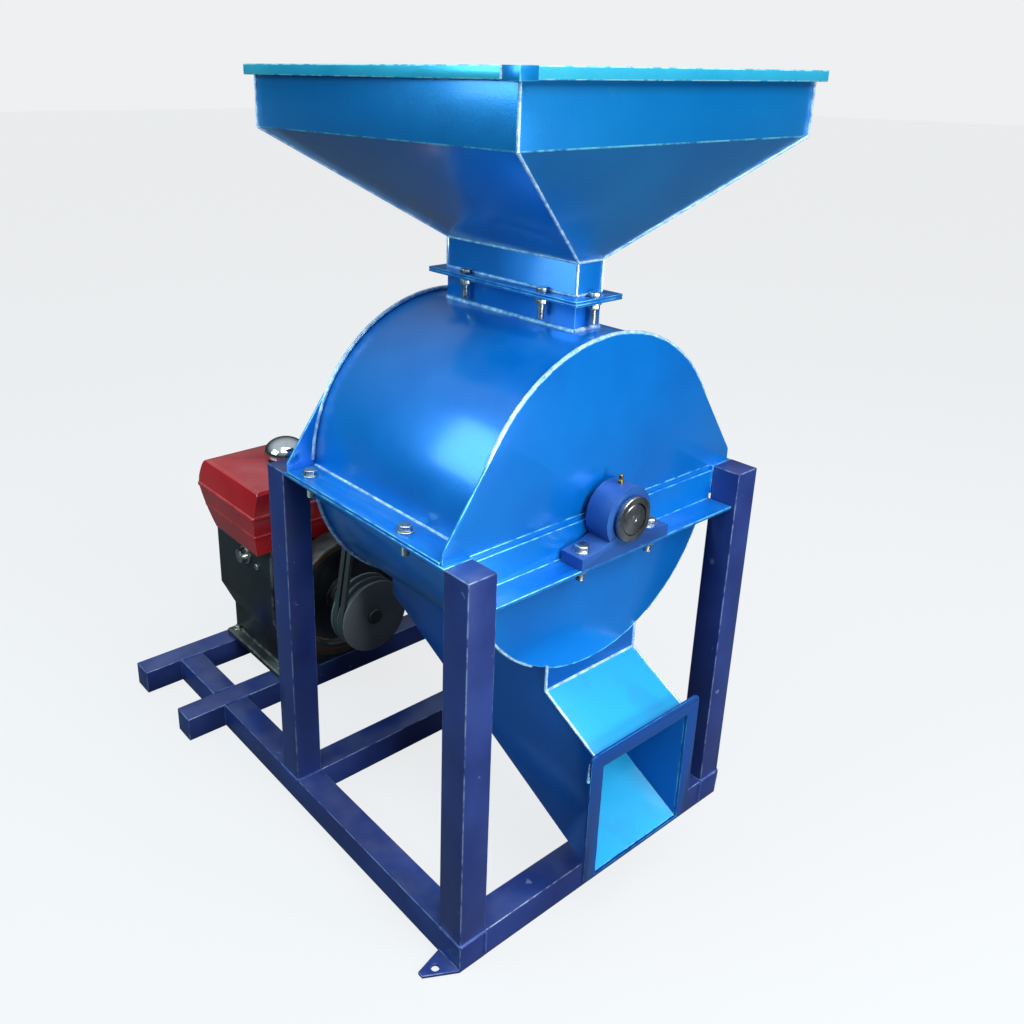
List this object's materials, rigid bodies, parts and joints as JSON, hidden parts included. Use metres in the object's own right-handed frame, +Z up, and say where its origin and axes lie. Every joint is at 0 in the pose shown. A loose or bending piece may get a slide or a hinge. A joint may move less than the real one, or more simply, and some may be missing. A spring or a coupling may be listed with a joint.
{
  "type": "hammer mill",
  "caption": "Hammer mill with square feed hopper, round split casing and sloping discharge chute on a tube frame, belt-driven by a small flat diesel engine.",
  "frame": {"origin": "on the floor, at the middle of the overall box", "axes": "+Z up, rotor axis along Y, discharge mouth faces -Y, X across the mill"},
  "size_m": [0.788, 1.1174, 1.2779],
  "materials": {
    "casing_paint": "gloss enamel, slightly mottled",
    "frame_paint": "satin enamel, chipped at the edges",
    "bright_steel": "turned",
    "hammer_iron": "worn",
    "cast_iron": "cast, painted thin",
    "engine_black": "oily satin",
    "tank_red": "gloss",
    "cap_chrome": "polished",
    "belt_rubber": "matt"
  },
  "bodies": {
    "frame": {"base_beam_left": "frame_paint", "base_beam_right": "frame_paint", "base_beam_front": "frame_paint", "base_beam_middle": "frame_paint", "base_tie_left": "frame_paint", "base_tie_right": "frame_paint", "leg_front_left": "frame_paint", "leg_front_right": "frame_paint", "leg_rear_left": "frame_paint", "leg_rear_right": "frame_paint", "engine_rail_front": "frame_paint", "engine_rail_rear": "frame_paint", "bearing_ledge_front": "casing_paint", "bearing_ledge_rear": "casing_paint", "side_rail_left": "casing_paint", "side_rail_right": "casing_paint", "upper_shell": "casing_paint", "lower_shell": "casing_paint", "upper_cheek_front": "casing_paint", "upper_cheek_rear": "casing_paint", "lower_cheek_front": "casing_paint", "lower_cheek_rear": "casing_paint", "inlet_collar": "casing_paint", "hopper_neck": "casing_paint", "hopper_pan": "casing_paint", "hopper_rim": "casing_paint", "discharge_chute": "casing_paint", "chute_lip": "casing_paint", "sizing_screen": "bright_steel", "bearing_front": "cast_iron", "bearing_rear": "cast_iron", "cylinder_head": "cast_iron", "silencer": "cast_iron", "engine_block": "engine_black", "radiator_tank": "engine_black", "air_cleaner": "engine_black", "fuel_tank": "tank_red", "drive_belt_1": "belt_rubber", "drive_belt_2": "belt_rubber"},
    "rotor": {"rotor_shaft": "bright_steel", "rotor_disc_1": "bright_steel", "rotor_disc_2": "bright_steel", "rotor_disc_3": "bright_steel", "hammer_pin_1": "bright_steel", "hammer_pin_2": "bright_steel", "hammer_pin_3": "bright_steel", "hammer_pin_4": "bright_steel", "mill_pulley": "cast_iron"},
    "crank": {"flywheel": "cast_iron", "engine_pulley": "cast_iron"},
    "hammer_front_1": {"hammer_front_1": "hammer_iron"},
    "hammer_front_2": {"hammer_front_2": "hammer_iron"},
    "hammer_front_3": {"hammer_front_3": "hammer_iron"},
    "hammer_front_4": {"hammer_front_4": "hammer_iron"},
    "hammer_rear_1": {"hammer_rear_1": "hammer_iron"},
    "hammer_rear_2": {"hammer_rear_2": "hammer_iron"},
    "hammer_rear_3": {"hammer_rear_3": "hammer_iron"},
    "hammer_rear_4": {"hammer_rear_4": "hammer_iron"},
    "fuel_cap": {"fuel_cap": "cap_chrome"},
    "throttle_lever": {"throttle_lever": "bright_steel"}
  },
  "joints": [
    {"name": "rotor_spin", "type": "hinge", "parent": "frame", "child": "rotor", "pos_m": [0, -0.23735, 0.662], "axis": [0, 1, 0], "continuous": true},
    {"name": "crank_spin", "type": "hinge", "parent": "frame", "child": "crank", "pos_m": [-0.055, 0.21065, 0.243], "axis": [0, 1, 0], "continuous": true},
    {"name": "hammer_front_1_swing", "type": "hinge", "parent": "rotor", "child": "hammer_front_1", "pos_m": [0.09758, -0.31235, 0.75958], "axis": [0, 1, 0], "continuous": true},
    {"name": "hammer_front_2_swing", "type": "hinge", "parent": "rotor", "child": "hammer_front_2", "pos_m": [-0.09758, -0.31235, 0.75958], "axis": [0, 1, 0], "continuous": true},
    {"name": "hammer_front_3_swing", "type": "hinge", "parent": "rotor", "child": "hammer_front_3", "pos_m": [-0.09758, -0.31235, 0.56442], "axis": [0, 1, 0], "continuous": true},
    {"name": "hammer_front_4_swing", "type": "hinge", "parent": "rotor", "child": "hammer_front_4", "pos_m": [0.09758, -0.31235, 0.56442], "axis": [0, 1, 0], "continuous": true},
    {"name": "hammer_rear_1_swing", "type": "hinge", "parent": "rotor", "child": "hammer_rear_1", "pos_m": [0.09758, -0.16235, 0.75958], "axis": [0, 1, 0], "continuous": true},
    {"name": "hammer_rear_2_swing", "type": "hinge", "parent": "rotor", "child": "hammer_rear_2", "pos_m": [-0.09758, -0.16235, 0.75958], "axis": [0, 1, 0], "continuous": true},
    {"name": "hammer_rear_3_swing", "type": "hinge", "parent": "rotor", "child": "hammer_rear_3", "pos_m": [-0.09758, -0.16235, 0.56442], "axis": [0, 1, 0], "continuous": true},
    {"name": "hammer_rear_4_swing", "type": "hinge", "parent": "rotor", "child": "hammer_rear_4", "pos_m": [0.09758, -0.16235, 0.56442], "axis": [0, 1, 0], "continuous": true},
    {"name": "fuel_cap_lift", "type": "slide", "parent": "frame", "child": "fuel_cap", "axis": [0, 0, 1], "range_m": [0, 0.06]},
    {"name": "throttle_turn", "type": "hinge", "parent": "frame", "child": "throttle_lever", "pos_m": [0.12, 0.25965, 0.27], "axis": [0, 1, 0], "range_deg": [-25, 25]}
  ],
  "couplings": [
    {"joint": "crank_spin", "follows": "rotor_spin", "ratio": 0.773}
  ]
}
